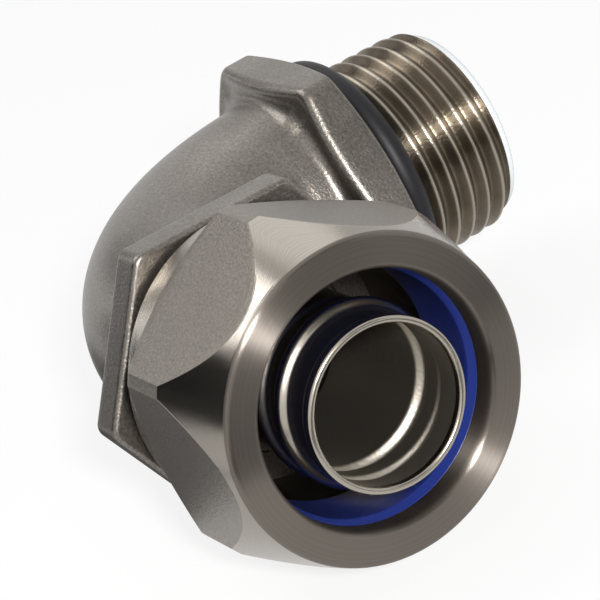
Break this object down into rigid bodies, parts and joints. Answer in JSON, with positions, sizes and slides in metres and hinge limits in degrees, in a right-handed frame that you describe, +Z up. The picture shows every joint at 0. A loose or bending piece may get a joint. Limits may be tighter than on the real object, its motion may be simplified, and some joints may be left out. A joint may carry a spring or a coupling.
{
  "type": "liquidtight conduit connector",
  "caption": "Right-angle metal connector for liquidtight flexible conduit: cast elbow, threaded hub with a rubber ring, tube ferrule, sealing ring and hexagon gland nut.",
  "frame": {"origin": "centre of the face that seals on the enclosure, on the axis of the enclosure thread and of the throat", "axes": "+Y out along the enclosure thread, +X out along the conduit, +Z up across both"},
  "size_m": [0.0597, 0.0521, 0.0316],
  "materials": {
    "cast_metal": "satin, fine blasted casting",
    "turned_metal": "turned and plated",
    "formed_metal": "smooth formed tube",
    "blue_nylon": "moulded",
    "black_rubber": "satin",
    "white_nylon": "moulded"
  },
  "bodies": {
    "elbow": {"elbow_body": "cast_metal", "o_ring": "black_rubber", "throat_liner": "white_nylon", "ferrule": "formed_metal"},
    "seal": {"sealing_ring": "blue_nylon"},
    "nut": {"gland_nut": "turned_metal"}
  },
  "joints": [
    {"name": "nut_travel", "type": "slide", "parent": "elbow", "child": "seal", "axis": [1, 0, 0], "range_m": [0, 0.00937]},
    {"name": "nut_turn", "type": "hinge", "parent": "seal", "child": "nut", "pos_m": [0.034, -0.0225, 0], "axis": [1, 0, 0], "range_deg": [0, 2250]}
  ],
  "couplings": [
    {"joint": "nut_travel", "follows": "nut_turn", "m_per_rad": 0.00023873}
  ]
}
